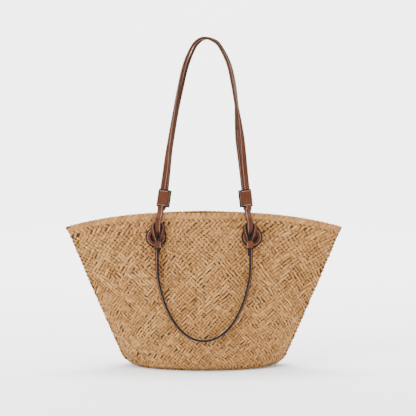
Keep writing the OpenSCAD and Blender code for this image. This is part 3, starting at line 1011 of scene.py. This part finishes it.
def handle_route(face):
    """The whole of one short handle, from its left tail to its right one."""
    points, dirs = handle_end(LEFT, face, LEFT_TAIL_T)
    for a in np.radians(np.arange(14, 166.1, 7.6)):
        x = -HANDLE_HALF * math.cos(a)
        z = HANDLE_TOP_Z - (HANDLE_TOP_Z - HANDLE_LOW_Z) * math.sin(a)
        normal = wall_normal(x, z, face)
        points.append(np.array([x, face * wall_depth(x, z), z]) + normal * HANDLE_STAND)
        turn = 0.5 * abs(math.cos(a)) ** 0.6
        dirs.append(unit(normal + np.array([-math.copysign(turn, x), 0, 0])))
    right_points, right_dirs = handle_end(RIGHT, face, RIGHT_TAIL_T)
    points += right_points[::-1]
    dirs += right_dirs[::-1]
    return curve(points, 3), unit(curve(dirs, 3))


def make_handle(face, word):
    """A short handle, stitched along its outer edge."""
    points, dirs = handle_route(face)
    body = f"{word}_handle"
    strap = strip(f"{body}_leather", points, dirs, HANDLE_W, HANDLE_T, HANDLE_LEATHER, BLACK_EDGE)
    attach(strap, body, "handle_leather", body)
    side, up = frames_along(points, dirs)
    rows = [stitch_row(points, side, up, HANDLE_W / 2 - 1.9, lift * (HANDLE_T / 2 + 0.02),
                       3.2, 2.3, 0.34) for lift in (-1, 1)]
    attach(stitches(f"{body}_stitches", rows, THREAD), body, "pale_thread")


def make_small_keeper(side, face, where):
    """The small sleeve that closes a handle's loop."""
    centre, ex, en, et = disc_axes(side, face, 0)
    origin = centre + ex * LOOP_X + en * LOOP_N + et * (SMALL_KEEPER_T - SMALL_KEEPER_H)
    room_x, room_n = 2 * HANDLE_T + 1.0, HANDLE_W + 0.6
    body = f"{where}_small_keeper"
    tube = sleeve(f"{body}_leather", (origin, ex, en, et), (room_x, room_n), SMALL_KEEPER_H,
                  SMALL_LEATHER, HANDLE_LEATHER, (1.5, 0.6))
    attach(tube, body, "handle_leather", body)
    x = -(room_x / 2 + SMALL_LEATHER) + 1.4
    line = np.array([origin + ex * x + en * (room_n / 2 + SMALL_LEATHER) + et * z
                     for z in np.linspace(1.0, SMALL_KEEPER_H - 1.0, 8)])
    s, u = frames_along(line, np.tile(ex, (len(line), 1)))
    if np.dot(u[0], en) < 0:
        u = -u
    row = stitch_row(line, s, u, 0, 0.1, 3.0, 2.2, 0.4)
    attach(stitches(f"{body}_stitches", [row], THREAD), body, "pale_thread")


# ---- the bag
wall = Wall()
weave_wall(wall, STRAW)
weave_core(wall, CHINK_SHADOW)
rim_fold(wall, RIM_STRAW)
base_mat(STRAW)
for face, front_word in ((FRONT, "front"), (BACK, "back")):
    for side, side_word in SIDES:
        place = f"{front_word}_{side_word}"
        make_disc(side, face, place)
        make_backing(side, face, place)
        make_small_keeper(side, face, place)
    make_shoulder_strap(face, front_word)
    make_handle(face, front_word)
for side, side_word in SIDES:
    make_big_keeper(side, side_word)


# ---- stage, lights and camera, in metres
def stage():
    """A pale round floor that curves up into a pale wall all the way round, open at the top."""
    radius, bend, top, around = 4.6, 1.2, 2.6, 96
    side = [(0.5, 0.0), (2.0, 0.0)]
    side += [(radius - bend + bend * math.sin(a), bend - bend * math.cos(a))
             for a in np.linspace(0, math.pi / 2, 17)]
    side.append((radius, top))
    points = [(r * math.cos(a), r * math.sin(a), z)
              for r, z in side for a in np.linspace(0, 2 * math.pi, around + 1)[:-1]]
    faces = [list(range(around))]
    for k in range(len(side) - 1):
        for i in range(around):
            j = (i + 1) % around
            a, b = k * around, (k + 1) * around
            faces.append([a + i, b + i, b + j, a + j])
    mesh = bpy.data.meshes.new("floor")
    mesh.from_pydata(points, [], faces)
    for polygon in mesh.polygons:
        polygon.use_smooth = True
    mesh.materials.append(plain_material("pale_floor", (0.92, 0.92, 0.92)))
    show("floor", mesh)


def area_light(name, place, target, size, power):
    """A square light of this size in metres and power in watts."""
    data = bpy.data.lights.new(name, "AREA")
    data.size = size
    data.energy = power
    light = show(name, data)
    light.location = place
    light.rotation_euler = (Vector(target) - Vector(place)).to_track_quat("-Z", "Y").to_euler()


def lights():
    """A white surround, a key light from the upper left, and two large lights on the stage."""
    world = bpy.data.worlds.new("studio")
    bpy.context.scene.world = world
    world.use_nodes = True
    background = world.node_tree.nodes["Background"].inputs
    background["Color"].default_value = (1, 1, 1, 1)
    background["Strength"].default_value = 1.0
    aim = (0, 0, 0.2)
    area_light("key", (-1.6, -1.5, 1.9), aim, 0.6, 50)
    area_light("fill", (1.7, -1.6, 0.7), aim, 1.4, 3)
    area_light("low_fill", (0.2, -2.1, 0.10), (0, 0, 0.08), 1.1, 6)
    area_light("overhead", (0, 0.6, 3.2), (0, 0.6, 0), 3.0, 230)
    area_light("wall_wash", (0, 1.6, 3.6), (0, 4.6, 1.0), 2.5, 420)


def camera():
    """The view is square on, from a little above: 2.5 m away, as a long lens sees it."""
    data = bpy.data.cameras.new("camera")
    data.sensor_width = 36.0
    data.lens = 129.1
    data.dof.use_dof = False
    cam = show("camera", data)
    cam.location = (0.0067, -2.5, 0.434)
    tilt = math.radians(3.86)
    cam.rotation_euler = (math.pi / 2 - tilt, 0, 0)
    bpy.context.scene.camera = cam


stage()
lights()
camera()
